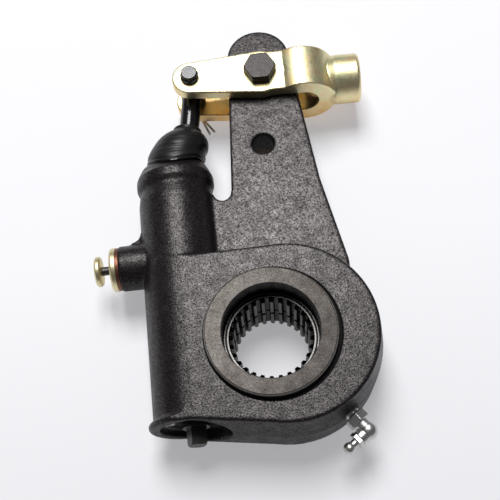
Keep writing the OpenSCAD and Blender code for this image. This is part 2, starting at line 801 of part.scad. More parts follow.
// Toothed outside of the actuator sleeve
module sleeve_teeth_solid() {
    root = sleeve_r - sleeve_tooth;
    pitch = 360 / sleeve_teeth;
    length = sleeve_teeth_to - sleeve_from;
    steps = [[0, root], [0.32, root], [0.5, sleeve_r], [0.68, sleeve_r]];       // share of a pitch, radius
    linear_extrude(length, twist = -360 * length / sleeve_lead, slices = 12)
        polygon([for (i = [0 : sleeve_teeth - 1], step = steps)
            step[1] * [cos(pitch * (i + step[0])), sin(pitch * (i + step[0]))]]);
}

module actuator_sleeve() {
    key_gap = 0.2;
    color("#77736c") along_worm() difference() {
        union() {
            translate([0, 0, sleeve_from]) sleeve_teeth_solid();
            translate([0, 0, sleeve_teeth_to])
                cylinder(r = sleeve_r - run_gap, h = sleeve_to - sleeve_teeth_to);
        }
        translate([0, 0, sleeve_from - over])
            linear_extrude(cup_floor - sleeve_from + 2 * over) key_profile(key_gap);
        translate([0, 0, cup_floor]) cylinder(r = cup_r, h = sleeve_to);
        translate([0, 0, piston_ring_at - seat_gap])
            cylinder(r = cup_r + piston_groove, h = piston_ring_t + 2 * seat_gap);
    }
}

// Open ring, sprung into the cup's groove
module piston_ring() {
    gap = 3;
    inner = stem_r + 2 * free_gap;
    color("#8f8f92") along_worm(piston_ring_at) difference() {
        tube(cup_r + piston_groove - seat_gap, inner, piston_ring_t);
        translate([-gap / 2, 0, -over]) cube([gap, 2 * cup_r, piston_ring_t + 2 * over]);
    }
}

module piston() {
    slot = rod_eye_t + free_gap;
    fork_top = piston_pin_at + rod_eye_r;
    slot_low = piston_pin_at - rod_eye_r - 2 * free_gap;
    color("#6d6a64") difference() {
        along_worm() {
            translate([0, 0, piston_head_at]) cylinder(r = cup_r - run_gap, h = piston_head_t);
            translate([0, 0, piston_head_at]) cylinder(r = stem_r, h = fork_top - piston_head_at);
        }
        translate([-worm_offset - 2 * stem_r, slot_low, -slot / 2]) cube([4 * stem_r, 4 * rod_eye_r, slot]);
        translate([-worm_offset, piston_pin_at, 0])
            cylinder(r = piston_pin_r + seat_gap, h = 4 * stem_r, center = true);
    }
}

module piston_pin() {
    inset = 0.1;
    reach = sqrt(stem_r * stem_r - piston_pin_r * piston_pin_r) - inset;
    color("#8f8f92") translate([-worm_offset, piston_pin_at, 0])
        cylinder(r = piston_pin_r, h = 2 * reach, center = true);
}

module actuator_rod() {
    eye_half = fork_half - free_gap;
    neck_half = 0.8 * rod_eye_r;
    shank_len = rod_len - rod_neck;
    color("#1d1c1e") difference() {
        union() {
            in_rod() {
                cylinder(r = rod_eye_r, h = rod_eye_t, center = true);
                translate([-neck_half, 0, -rod_eye_t / 2]) cube([2 * neck_half, rod_neck + over, rod_eye_t]);
                translate([0, rod_len, 0]) cylinder(r = rod_top_r, h = 2 * eye_half, center = true);
            }
            along_rod(rod_len) mirror([0, 0, 1]) chamfered(rod_r, shank_len, rod_chamfer);
        }
        in_rod() {
            cylinder(r = piston_pin_r + link_gap, h = 2 * rod_eye_t, center = true);
            translate([0, rod_len, 0]) cylinder(r = rod_bore_r, h = 4 * eye_half, center = true);
        }
    }
}

// Boot: a foot on the tube's spigot and two bulges that lean with the rod
module boot() {
    tuck = 1;                                   // the bulges start this far below the spigot's end
    low = (boot_foot_to - piston_pin_at) / cos(rod_lean) - tuck;
    tall = boot_h + tuck;
    in = rod_r + free_gap;
    outer = [                                   // share of the height, radius
        [0, 0.96 * bulge_r], [0.16, bulge_r], [0.29, 0.97 * bulge_r], [0.4, waist_r],
        [0.52, upper_bulge_r], [0.64, 0.95 * upper_bulge_r], [0.74, 0.81 * upper_bulge_r],
        [0.82, 1.2 * neck_r], [0.88, neck_r], [1, neck_r]];
    neck_from = 0.79;
    roof = boot_foot + spigot_len + boot_wall;
    color("#151416") difference() {
        union() {
            along_worm(boot_foot) cylinder(r = boot_foot_r, h = spigot_len + 2 * boot_wall);
            along_rod(low) rotate_extrude()
                polygon(concat([[0, 0]], [for (p = outer) [p[1], p[0] * tall]], [[0, tall]]));
        }
        along_worm(boot_foot - over) cylinder(r = spigot_r + seat_gap, h = spigot_len + over + seat_gap);
        along_worm(boot_foot) cylinder(r = worm_bore_r, h = spigot_len + boot_wall);
        along_worm(boot_foot - over)
            tube(2 * boot_foot_r, boot_foot_r, clamp_lift + clamp_w + over + free_gap);
        intersection() {
            along_rod(low) rotate_extrude()
                polygon(concat(
                    [[0, -tuck]],
                    [for (i = [0 : 6]) [max(in, outer[i][1] - boot_wall), outer[i][0] * tall]],
                    [[in, neck_from * tall], [in, tall + over], [0, tall + over]]));
            along_worm(roof - free_gap) cylinder(r = 2 * bulge_r, h = 2 * tall);
        }
    }
}

module boot_clamp() {
    color("#b08a3e") along_worm(boot_foot + clamp_lift)
        tube(boot_foot_r + clamp_t, boot_foot_r + seat_gap, clamp_w);
}

// Pawl: a plunger whose slanted teeth face the sleeve, and the stem that pulls it back
module pawl() {
    slant = atan(2 * PI * sleeve_r / sleeve_lead);
    groove = 2 * PI * sleeve_r / sleeve_teeth;
    color("#57544f") along_pawl(pawl_tip) difference() {
        union() {
            cylinder(r = pawl_bore_r - free_gap, h = plunger_len);
            cylinder(r = pull_stem_r, h = button_face + button_t - button_skin - pawl_tip);
        }
        for (i = [-2 : 2]) rotate([0, 0, slant]) translate([-2 * pawl_bore_r, groove * (i + 0.5), 0])
            rotate([45, 0, 0]) translate([0, -pawl_tooth, -pawl_tooth])
                cube([4 * pawl_bore_r, 2 * pawl_tooth, 2 * pawl_tooth]);
    }
}

module pawl_spring() {
    color("#8f8f92") along_pawl(plunger_end + seat_gap)
        coil(spring_mean_r, spring_wire_r, spring_seat - plunger_end - 2 * seat_gap, spring_turns);
}

module pawl_cap() {
    color("#b5924a") along_pawl(0) difference() {
        union() {
            translate([0, 0, plug_end]) cylinder(r = pawl_bore_r - seat_gap, h = cap_seat - plug_end);
            translate([0, 0, cap_seat]) chamfered(cap_r, cap_t, cap_chamfer);
        }
        translate([0, 0, plug_end - over]) cylinder(r = spring_cup_r, h = spring_seat - plug_end + over);
        translate([0, 0, plug_end]) cylinder(r = pull_stem_r + free_gap, h = cap_face);
    }
}

module pawl_gasket() {
    color("#8a4b35") along_pawl(boss_end + seat_gap)
        tube(gasket_r, pawl_bore_r + seat_gap, gasket_t - 2 * seat_gap);
}

module pawl_button() {
    hole = button_t - button_skin + seat_gap;
    color("#c3a55a") along_pawl(button_face) difference() {
        union() {
            cylinder(r1 = button_r - cap_chamfer, r2 = button_r, h = cap_chamfer);
            translate([0, 0, cap_chamfer]) chamfered(button_r, button_t - cap_chamfer, cap_chamfer);
        }
        translate([0, 0, -over]) cylinder(r = pull_stem_r + seat_gap, h = hole + over);
    }
}

// Clevis: two tapered plates, a round fork base and a threaded collar
module clevis_plates() {
    both_faces() translate([0, 0, fork_half]) linear_extrude(plate_t) {
        belt([-pin_reach, 0], plate_end_r, [0, 0], plate_half);
        translate([0, -fork_base_half]) square([fork_base_at, 2 * fork_base_half]);
    }
}

// Neck that runs out of the fork's base, and the collar at its end
module clevis_collar() {
    neck = fork_base_half - 0.5;
    length = collar_end - fork_base_at;
    along_clevis(fork_base_at) rotate_extrude() polygon([
        [0, 0], [neck, 0], [neck, 0.7 * fork_base_r], [collar_r, fork_base_r],
        [collar_r, length - collar_chamfer], [collar_r - collar_chamfer, length], [0, length]]);
}

module clevis() {
    color("#c9b277") difference() {
        union() {
            in_clevis() clevis_plates();
            in_clevis() translate([fork_base_at, fork_base_half, 0]) rotate([90, 0, 0])
                cylinder(r = fork_base_r, h = 2 * fork_base_half);
            clevis_collar();
        }
        in_clevis() {
            both_faces() translate([0, 0, clevis_half]) cylinder(r = spot_face_r, h = fork_base_r);
            translate([-2 * fork_base_at, -2 * collar_r, -fork_half])
                cube([3 * fork_base_at, 4 * collar_r, fork_gap]);
            translate([fork_base_at, 0, 0]) rotate([90, 0, 0])
                cylinder(d = fork_gap, h = 4 * collar_r, center = true);
            cylinder(r = bolt_r + run_gap, h = 4 * clevis_half, center = true);
            translate([-pin_reach, 0, 0]) cylinder(r = rod_bore_r, h = 4 * clevis_half, center = true);
        }
        along_clevis(fork_base_at) cylinder(r = thread_r, h = collar_end);
    }
}

module clevis_bolt() {
    color("#3b3a3a") in_clevis() {
        translate([0, 0, clevis_half]) hex_head(bolt_af, bolt_head_h);
        translate([0, 0, clevis_half + touch]) mirror([0, 0, 1])
            chamfered(bolt_r, clevis_half + bolt_tip + touch, bolt_chamfer);
    }
}

module clevis_nut() {
    color("#3b3a3a") in_clevis() mirror([0, 0, 1]) translate([0, 0, clevis_half + seat_gap]) difference() {
        hex_head(bolt_af, nut_h);
        translate([0, 0, -over]) cylinder(r = bolt_r + seat_gap, h = nut_h + 2 * over);
    }
}

module link_pin() {
    tip = cotter_drop + 3 * cotter_r;
    hole_r = 1.25 * cotter_r;
    color("#232224") in_clevis() translate([-pin_reach, 0, 0]) difference() {
        union() {
            translate([0, 0, -tip]) cylinder(r = link_pin_r, h = tip + clevis_half + link_collar_t / 2);
            translate([0, 0, clevis_half]) cylinder(r = link_collar_r, h = link_collar_t);
            translate([0, 0, clevis_half + link_collar_t]) rotate([0, 0, 30]) hex_head(link_af, link_hex_h);
        }
        translate([0, 0, -cotter_drop]) rotate([0, 0, cotter_turn]) rotate([0, 90, 0])
            cylinder(r = hole_r, h = 6 * link_pin_r, center = true);
    }
}

// Cotter pin: an eye on one side, a shank through the pin and two spread legs
module cotter_pin() {
    shank_half = link_pin_r + cotter_r / 2;
    leg_r = 0.85 * cotter_r;
    color("#6b6b6d") in_clevis() translate([-pin_reach, 0, -cotter_drop]) rotate([0, 0, cotter_turn]) {
        rotate([0, 90, 0]) cylinder(r = cotter_r, h = 2 * shank_half, center = true);
        translate([-shank_half - cotter_eye_r, 0, 0])
            rotate_extrude() translate([cotter_eye_r, 0]) circle(r = cotter_r);
        for (side = [-1, 1]) translate([shank_half - cotter_r / 4, 0, 0])
            rotate([0, 90, cotter_spread * side]) cylinder(r = leg_r, h = cotter_leg);
    }
}

module grease_elbow() {
    color("#b9b8b4") {
        along_fitting(-fitting_depth)
            cylinder(r = fitting_thread_r - seat_gap, h = fitting_depth + 2 * fitting_hex_at);
        along_fitting(fitting_hex_at) hexagon(fitting_af, fitting_hex_h);
        along_fitting(fitting_hex_at) cylinder(r = fitting_neck_r, h = fitting_reach - fitting_hex_at);
        along_fitting(fitting_reach) sphere(r = fitting_r);
        along_nipple(0) cylinder(r = fitting_neck_r - wall_inset, h = elbow_end);
    }
}

module grease_nipple() {
    neck_from = nipple_from + nipple_hex_h;
    color("#c4c3bf") along_nipple(0) difference() {
        union() {
            translate([0, 0, nipple_from]) hexagon(nipple_af, nipple_hex_h);
            translate([0, 0, neck_from]) cylinder(r = nipple_neck_r, h = nipple_reach - neck_from);
            translate([0, 0, nipple_reach]) sphere(r = nipple_r);
        }
        translate([0, 0, nipple_reach]) cylinder(r = check_r, h = 2 * nipple_r);
    }
}

module grease_check_ball() {
    color("#dcdcdc") along_nipple(nipple_reach + nipple_r - check_r) sphere(r = check_r - seat_gap);
}

housing();
arm_bush();
worm_gear();
upper_gear_bush();
lower_gear_bush();
upper_gear_seal();
lower_gear_seal();
worm();
worm_thrust_washer();
worm_cover();
worm_seal();
worm_retaining_ring();
actuator_sleeve();
piston();
piston_ring();
piston_pin();
actuator_rod();
boot();
boot_clamp();
pawl();
pawl_spring();
pawl_cap();
pawl_gasket();
pawl_button();
clevis();
clevis_bolt();
clevis_nut();
link_pin();
cotter_pin();
grease_elbow();
grease_nipple();
grease_check_ball();
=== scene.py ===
import json
import math

import bpy
import numpy as np
from mathutils import Matrix, Vector


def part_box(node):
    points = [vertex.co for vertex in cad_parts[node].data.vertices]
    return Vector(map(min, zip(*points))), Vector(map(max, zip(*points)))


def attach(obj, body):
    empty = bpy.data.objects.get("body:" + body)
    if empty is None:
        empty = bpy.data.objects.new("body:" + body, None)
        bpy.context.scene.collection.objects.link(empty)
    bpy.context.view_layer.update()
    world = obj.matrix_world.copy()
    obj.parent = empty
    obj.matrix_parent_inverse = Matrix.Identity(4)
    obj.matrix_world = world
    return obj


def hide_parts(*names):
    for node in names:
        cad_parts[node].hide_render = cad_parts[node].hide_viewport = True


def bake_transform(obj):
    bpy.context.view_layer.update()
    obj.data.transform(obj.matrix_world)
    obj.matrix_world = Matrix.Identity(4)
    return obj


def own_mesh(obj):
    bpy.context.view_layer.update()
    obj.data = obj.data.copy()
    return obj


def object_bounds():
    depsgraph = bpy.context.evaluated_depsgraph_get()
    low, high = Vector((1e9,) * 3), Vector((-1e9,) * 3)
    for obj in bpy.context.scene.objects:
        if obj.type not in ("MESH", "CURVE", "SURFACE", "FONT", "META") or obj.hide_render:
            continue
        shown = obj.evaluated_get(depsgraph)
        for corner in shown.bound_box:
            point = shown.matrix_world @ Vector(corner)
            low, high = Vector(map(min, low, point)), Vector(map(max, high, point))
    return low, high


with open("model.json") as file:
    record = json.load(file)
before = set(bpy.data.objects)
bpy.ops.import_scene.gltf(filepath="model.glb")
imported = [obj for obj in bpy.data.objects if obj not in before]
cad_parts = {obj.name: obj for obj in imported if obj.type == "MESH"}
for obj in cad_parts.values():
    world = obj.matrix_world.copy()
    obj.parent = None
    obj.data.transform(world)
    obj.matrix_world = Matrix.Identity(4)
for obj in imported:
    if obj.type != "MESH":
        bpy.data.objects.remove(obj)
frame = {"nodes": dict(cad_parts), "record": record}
nodes = frame["nodes"]
bounds_at_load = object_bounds()
scene = bpy.context.scene
MM = 0.001


# Shader helpers
class Shader:
    """A Principled material whose nodes are added one by one."""

    def __init__(self, name, colour, metallic, roughness, **sockets):
        self.material = bpy.data.materials.new(name)
        self.material.use_nodes = True
        self.tree = self.material.node_tree
        self.surface = self.tree.nodes["Principled BSDF"]
        self.set("Base Color", (*colour, 1))
        self.set("Metallic", metallic)
        self.set("Roughness", roughness)
        for socket, value in sockets.items():
            self.set(socket.replace("_", " "), value)

    def set(self, socket, value):
        self.surface.inputs[socket].default_value = value

    def add(self, kind, **values):
        made = self.tree.nodes.new(kind)
        for key, value in values.items():
            if key in made.inputs:
                made.inputs[key].default_value = value
            else:
                setattr(made, key, value)
        return made

    def link(self, source, target):
        self.tree.links.new(source, target)

    def place(self):
        """Position in the row frame, in metres."""
        return self.add("ShaderNodeTexCoord").outputs["Object"]

    def coordinate(self, axis):
        """Position along one axis of the row frame, in metres."""
        parts = self.add("ShaderNodeSeparateXYZ")
        self.link(self.place(), parts.inputs["Vector"])
        return parts.outputs[axis]

    def facing_up(self):
        """Upward part of the surface's normal: 1 on level tops, 0 on upright walls."""
        parts = self.add("ShaderNodeSeparateXYZ")
        self.link(self.add("ShaderNodeNewGeometry").outputs["Normal"], parts.inputs["Vector"])
        return parts.outputs["Z"]

    def noise(self, size, detail=2.0, roughness=0.5, stretch=(1, 1, 1)):
        """Noise whose grains are about this many metres wide."""
        mapping = self.add("ShaderNodeMapping")
        mapping.inputs["Scale"].default_value = stretch
        self.link(self.place(), mapping.inputs["Vector"])
        made = self.add("ShaderNodeTexNoise", Scale=1 / size, Detail=detail, Roughness=roughness)
        self.link(mapping.outputs["Vector"], made.inputs["Vector"])
        return made.outputs["Fac"]

    def distance(self, point):
        """Distance from a point of the row frame, in metres."""
        made = self.add("ShaderNodeVectorMath", operation="DISTANCE")
        self.link(self.place(), made.inputs[0])
        made.inputs[1].default_value = point
        return made.outputs["Value"]

    def from_axis(self):
        """Distance from the frame's Z axis, in metres."""
        flat = self.add("ShaderNodeMapping")
        flat.inputs["Scale"].default_value = (1, 1, 0)
        self.link(self.place(), flat.inputs["Vector"])
        made = self.add("ShaderNodeVectorMath", operation="LENGTH")
        self.link(flat.outputs["Vector"], made.inputs[0])
        return made.outputs["Value"]

    def blend(self, share, first, second):
        """Colour that goes from first to second as share goes from 0 to 1."""
        made = self.add("ShaderNodeMixRGB")
        for socket, value in (("Fac", share), ("Color1", first), ("Color2", second)):
            self.link(value, made.inputs[socket])
        return made.outputs["Color"]

    def spread(self, value, low, high, to_low, to_high):
        """Value whose span from low to high is stretched onto the one from to_low to to_high."""
        made = self.add("ShaderNodeMapRange")
        limits = {"From Min": low, "From Max": high, "To Min": to_low, "To Max": to_high}
        for socket, number in limits.items():
            made.inputs[socket].default_value = number
        self.link(value, made.inputs["Value"])
        return made.outputs["Result"]

    def math(self, operation, first, second):
        made = self.add("ShaderNodeMath", operation=operation)
        self.link(first, made.inputs[0])
        self.link(second, made.inputs[1])
        return made.outputs["Value"]

    def ramp(self, value, stops):
        made = self.add("ShaderNodeValToRGB")
        ramp = made.color_ramp
        while len(ramp.elements) < len(stops):
            ramp.elements.new(0.5)
        for element, (at, colour) in zip(ramp.elements, stops):
            element.position = at
            element.color = (*colour, 1)
        self.link(value, made.inputs["Fac"])
        return made.outputs["Color"]

    def bump(self, height, distance, strength=1.0):
        made = self.add("ShaderNodeBump", Distance=distance, Strength=strength)
        self.link(height, made.inputs["Height"])
        before = self.surface.inputs["Normal"]
        if before.is_linked:
            self.link(before.links[0].from_socket, made.inputs["Normal"])
        self.link(made.outputs["Normal"], before)

    def into(self, value, socket):
        self.link(value, self.surface.inputs[socket])


# Finishes. Noise lies mostly within NOISE_SPAN; the other spans are places in the row frame.
NOISE_SPAN = (0.3, 0.7)
# The painted sheen on the arm: its centre, and the distances over which it fades.
SHEEN_POOL_CENTRE = (20 * MM, 62 * MM, 0)
SHEEN_POOL_SPAN = (15 * MM, 80 * MM)
WALL_SHEEN = 0.3
BORE_SPAN = (17 * MM, 22 * MM)
RING_STARTS = (22.1 * MM, 22.4 * MM)
RIM_STARTS = (29.2 * MM, 29.4 * MM)
# Span in X of the painted light on the gear's end rings.
LIT_SIDE_SPAN = (-30 * MM, 30 * MM)
# Heights over which the zinc's painted shade gives way to its lit colour.
SHADED_TO_LIT = (-9 * MM, 4 * MM)
GRAIN, GRAIN_DEPTH = 0.6 * MM, 0.04 * MM
ROUGHNESS_VARIES = 0.06


def cast_paint():
    """Black mottled paint on a sandy casting, with painted shade dulling its sheen on upright walls and a
    painted sheen brightest on the arm's middle.
    """
    made = Shader("cast_paint", (0.0085, 0.007, 0.008), 0.0, 0.37, Specular_Tint=(1, 0.93, 0.92, 1))
    sand = made.noise(0.8 * MM, detail=2, roughness=0.7)
    lumps = made.noise(6 * MM, detail=3)
    mottle = made.noise(2.6 * MM, detail=4, roughness=0.65)
    # Painted shade: less sheen on upright walls.
    walls = made.spread(made.facing_up(), 0.0, 0.7, WALL_SHEEN, 1.0)
    # Painted sheen, strongest round a point in the arm's middle.
    sheen_pool = made.spread(made.distance(SHEEN_POOL_CENTRE), *SHEEN_POOL_SPAN, 1.15, 0.88)
    sheen = made.math("MULTIPLY", walls, sheen_pool)
    sheen = made.math("MULTIPLY", sheen, made.spread(mottle, 0.35, 0.65, 0.75, 1.25))
    sheen = made.math("MULTIPLY", sheen, made.spread(sand, 0.34, 0.66, 0.08, 0.84))
    made.into(sheen, "Specular IOR Level")
    made.into(made.spread(lumps, *NOISE_SPAN, 0.44, 0.32), "Roughness")
    made.bump(sand, 0.12 * MM)
    made.bump(lumps, 0.12 * MM)
    return made.material


def gear_steel():
    """Turned end rings with stains, lighter on the worm's side as painted light; a bore with painted shade
    in its spline grooves and painted highlights on its lands and two ring edges; a painted highlight on the
    outer rim.
    """
    made = Shader("machined_steel", (0.04, 0.036, 0.033), 1.0, 0.4)
    stain = made.noise(5 * MM, detail=6, roughness=0.7)
    fine = made.noise(0.6 * MM, detail=3)
    # Painted light: the ring colour goes from darker away from the worm to lighter on its side; the stains
    # within it are real.
    shaded_side = made.ramp(stain, [(0.3, (0.019, 0.017, 0.0155)), (0.7, (0.045, 0.041, 0.038))])
    lit_side = made.ramp(stain, [(0.3, (0.035, 0.031, 0.028)), (0.7, (0.08, 0.073, 0.067))])
    ring = made.blend(made.spread(made.coordinate("X"), *LIT_SIDE_SPAN, 1, 0), shaded_side, lit_side)
    # Painted shade in the spline grooves; painted highlights on the lands and on two ring edges in the
    # bore.
    lit_land, groove_shade, edge_highlight = (0.11, 0.105, 0.105), (0.006, 0.0055, 0.006), (0.14, 0.135, 0.13)
    bore = made.ramp(made.spread(made.from_axis(), *BORE_SPAN, 0, 1), [
        (0.1, lit_land), (0.16, groove_shade), (0.47, groove_shade), (0.5, edge_highlight), (0.6, edge_highlight), (0.64, groove_shade), (0.78, groove_shade),
        (0.81, edge_highlight), (0.86, edge_highlight), (0.9, groove_shade)])
    inner = made.blend(made.spread(made.from_axis(), *RING_STARTS, 0, 1), bore, ring)
    # Painted highlight on the gear's outer rim.
    rim_highlight = made.add("ShaderNodeRGB")
    rim_highlight.outputs["Color"].default_value = (0.35, 0.33, 0.31, 1)
    rim = made.spread(made.from_axis(), *RIM_STARTS, 0, 1)
    made.into(made.blend(rim, inner, rim_highlight.outputs["Color"]), "Base Color")
    made.into(made.spread(fine, *NOISE_SPAN, 0.34, 0.5), "Roughness")
    made.bump(fine, 0.05 * MM, 0.6)
    return made.material


def yellow_zinc():
    """Zinc plate with a yellow, slightly iridescent passivation, with painted shade and reflected light
    that turn its lower parts deeper orange.
    """
    made = Shader("yellow_zinc", (0.84, 0.74, 0.48), 1.0, 0.42)
    tint = made.noise(7 * MM, detail=3)
    lit_high = made.ramp(tint, [(0.3, (0.8, 0.64, 0.34)), (0.5, (0.84, 0.74, 0.46)), (0.62, (0.75, 0.75, 0.44)),
                            (0.75, (0.86, 0.68, 0.46))])
    shaded_low = made.ramp(tint, [(0.3, (0.82, 0.5, 0.18)), (0.7, (0.84, 0.66, 0.36))])
    # Painted shade and reflected light: the colour turns deeper orange low down and paler higher up; the
    # tints within each are the passivation's own.
    height = made.spread(made.coordinate("Z"), *SHADED_TO_LIT, 0, 1)
    made.into(made.blend(height, shaded_low, lit_high), "Base Color")
    fine = made.noise(1.2 * MM, detail=3)
    made.into(made.spread(fine, *NOISE_SPAN, 0.36, 0.5), "Roughness")
    made.bump(fine, 0.06 * MM, 0.5)
    return made.material


def plain(name, colour, metallic, roughness, grain=GRAIN, depth=GRAIN_DEPTH, **sockets):
    """One colour, with a fine grain in its roughness and its surface."""
    made = Shader(name, colour, metallic, roughness, **sockets)
    fine = made.noise(grain, detail=3)
    smoothest, roughest = roughness - ROUGHNESS_VARIES, roughness + ROUGHNESS_VARIES
    made.into(made.spread(fine, *NOISE_SPAN, smoothest, roughest), "Roughness")
    made.bump(fine, depth, 0.6)
    return made.material


def boot_rubber():
    """Black rubber with fine wrinkles across it."""
    made = Shader("boot_rubber", (0.01, 0.0093, 0.01), 0.0, 0.38, Specular_IOR_Level=0.35)
    wrinkles = made.noise(1.4 * MM, detail=2, stretch=(0.12, 1, 0.12))
    made.into(made.spread(wrinkles, *NOISE_SPAN, 0.32, 0.46), "Roughness")
    made.bump(wrinkles, 0.3 * MM)
    return made.material


finishes = {
    "cast_paint": cast_paint(),
    "machined_steel": gear_steel(),
    "dark_steel": plain("dark_steel", (0.085, 0.079, 0.075), 1.0, 0.45),
    "spring_steel": plain("spring_steel", (0.55, 0.55, 0.55), 1.0, 0.4),
    "cover_steel": plain("cover_steel", (0.03, 0.03, 0.033), 0.6, 0.5),
    "bronze": plain("bronze", (0.42, 0.3, 0.14), 1.0, 0.45),
    "seal_rubber": plain("seal_rubber", (0.003, 0.003, 0.003), 0.0, 0.6, Specular_IOR_Level=0.1),
    "boot_rubber": boot_rubber(),
    "black_oxide": plain("black_oxide", (0.008, 0.0075, 0.009), 0.0, 0.14),
    "phosphate_steel": plain("phosphate_steel", (0.043, 0.039, 0.039), 0.9, 0.42, 0.8 * MM, 0.08 * MM),
    "yellow_zinc": yellow_zinc(),
    "brass": plain("brass", (0.76, 0.67, 0.42), 1.0, 0.42),
    "copper": plain("copper", (0.2, 0.09, 0.06), 1.0, 0.45),
    "bright_zinc": plain("bright_zinc", (0.6, 0.59, 0.57), 1.0, 0.36),
}
slot_of = {part["node"]: part["material_slot"] for part in frame["record"]["subparts"]}
for name, node in nodes.items():
    node.data.materials.clear()
    node.data.materials.append(finishes[slot_of[name]])


# Mesh helpers
def new_object(name, mesh):
    made = bpy.data.objects.new(name, mesh)
    scene.collection.objects.link(made)
    return made


def baked(obj):
    """The object's mesh with its modifiers applied, in place of the mesh it had."""
    graph = bpy.context.evaluated_depsgraph_get()
    mesh = bpy.data.meshes.new_from_object(obj.evaluated_get(graph))
    obj.modifiers.clear()
    obj.data = mesh
    return obj


def points_of(mesh):
    flat = np.zeros(3 * len(mesh.vertices))
    mesh.vertices.foreach_get("co", flat)
    return flat.reshape(-1, 3)


def ring_faces(rings, sides):
    """Faces between rings of points, where the last ring joins the first."""
    faces = []
    for i in range(rings):
        here = i * sides
        above = (i + 1) % rings * sides
        for j in range(sides):
            k = (j + 1) % sides
            faces.append((here + j, above + j, above + k, here + k))
    return faces


# Droop of the tube's end and of the boot's foot on the upper side, as in the photograph
DROOP = 5 * MM
DROOP_RADIUS = 14 * MM
DROOP_FROM, DROOP_FULL, DROOP_KEPT, DROOP_TO = 88.5 * MM, 98.5 * MM, 100.6 * MM, 116 * MM
DROOP_RIGHT = -19.5 * MM


def smooth_step(values, start, stop):
    share = np.clip((values - start) / (stop - start), 0, 1)
    return share * share * (3 - 2 * share)


def droop(points):
    x, y, z = points.T
    share = smooth_step(y, DROOP_FROM, DROOP_FULL) * (1 - smooth_step(y, DROOP_KEPT, DROOP_TO))
    height = np.where(x < DROOP_RIGHT, np.clip(z / DROOP_RADIUS, 0, 1.2), 0)
    points[:, 1] -= DROOP * share * height ** 2


# Cast housing: the CAD housing with its cast edges and corners rounded, and its bores kept true
BORE_NEAR, BORE_ROOM = 0.7 * MM, 0.03 * MM


def keep_bore(points, origin, along, across, radius, start, stop):
    """Moves points near a bore's wall onto it. along and across are axis numbers."""
    depth = points[:, along] - origin[along]
    centre = np.array(origin)[across]
    sides = points[:, across] - centre
    reach = np.linalg.norm(sides, axis=1)
    near = (np.abs(reach - radius) < BORE_NEAR) & (depth > start) & (depth < stop)
    scale = (radius + BORE_ROOM) / reach[near]
    points[np.ix_(near, across)] = centre + sides[near] * scale[:, None]


def rounded(node, name, voxel, passes):
    """A copy of a CAD node with its sharp edges rounded, as casting, forging or moulding leaves them."""
    made = new_object(name, nodes[node].data.copy())
    weld = made.modifiers.new("weld", "WELD")
    weld.merge_threshold = 0.002 * MM
    remesh = made.modifiers.new("remesh", "REMESH")
    remesh.mode = "VOXEL"
    remesh.voxel_size = voxel
    smooth = made.modifiers.new("smooth", "SMOOTH")
    smooth.factor = 0.5
    smooth.iterations = passes
    baked(made)
    made.data.shade_smooth()
    made.data.materials.clear()
    made.data.materials.append(finishes[slot_of[node]])
    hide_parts(node)
    return made


def moulded(name, points, faces, node):
    """A new smooth piece that stands for a CAD node."""
    mesh = bpy.data.meshes.new(name)
    mesh.from_pydata(points, [], faces)
    made = new_object(name, mesh)
    smooth = made.modifiers.new("smooth", "SUBSURF")
    smooth.levels = 2
    smooth.render_levels = 2
    baked(made)
    made.data.shade_smooth()
    made.data.materials.append(finishes[slot_of[node]])
    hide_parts(node)
    return made


def cast_housing():
    made = rounded("housing", "cast_housing", 0.6 * MM, 10)
    points = points_of(made.data)
    bush_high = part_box("upper_gear_bush")[1]
    face = bush_high.z + 2 * MM
    keep_bore(points, (0, 0, 0), 2, [0, 1], bush_high.x, -face, face)
    worm_low, worm_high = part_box("worm")
    worm_axis = (worm_low + worm_high) / 2
    worm_radius = (worm_high.x - worm_low.x) / 2
    tube_from, tube_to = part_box("worm_cover")[1].y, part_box("boot")[0].y
    keep_bore(points, (worm_axis.x, 0, 0), 1, [0, 2], worm_radius, tube_from, tube_to)
    droop(points)
    made.data.vertices.foreach_set("co", points.ravel())
    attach(made, "housing")


# Edge of the gear's bore on both faces: left sharp, and a little off centre as the core sat in the mould
CORE_SHIFT = Vector((0.8, -0.4, 0)) * MM
SEAL_DEPTH = 1 * MM
EDGE_OVERLAP = 0.05 * MM
EDGE_WIDTH, EDGE_BACK = 3 * MM, 1.5 * MM
EDGE_PROUD, EDGE_SUNK, EDGE_DEPTH = 0.03 * MM, -0.5 * MM, -0.7 * MM
EDGE_SIDES = 96


def bore_edge(name, side):
    """A thin ring round the bore. Each line of rings: radius, rise over the face, share of the shift."""
    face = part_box("upper_gear_seal")[1].z + SEAL_DEPTH
    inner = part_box("upper_gear_bush")[1].x - EDGE_OVERLAP
    outer = inner + EDGE_WIDTH
    rings = (
        (outer, EDGE_SUNK, 0),
        (outer, EDGE_PROUD, 0),
        (inner, EDGE_PROUD, 1),
        (inner, EDGE_DEPTH, 1),
        (inner + EDGE_BACK, EDGE_DEPTH, 0))
    points = []
    for radius, rise, shifted in rings:
        for i in range(EDGE_SIDES):
            turn = 2 * math.pi * i / EDGE_SIDES
            spot = Vector((radius * math.cos(turn), radius * math.sin(turn), side * (face + rise)))
            points.append(spot + shifted * CORE_SHIFT)
    made = new_object(name, bpy.data.meshes.new(name))
    made.data.from_pydata(points, [], ring_faces(len(rings), EDGE_SIDES))
    made.data.materials.append(finishes[slot_of["housing"]])
    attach(made, "housing")


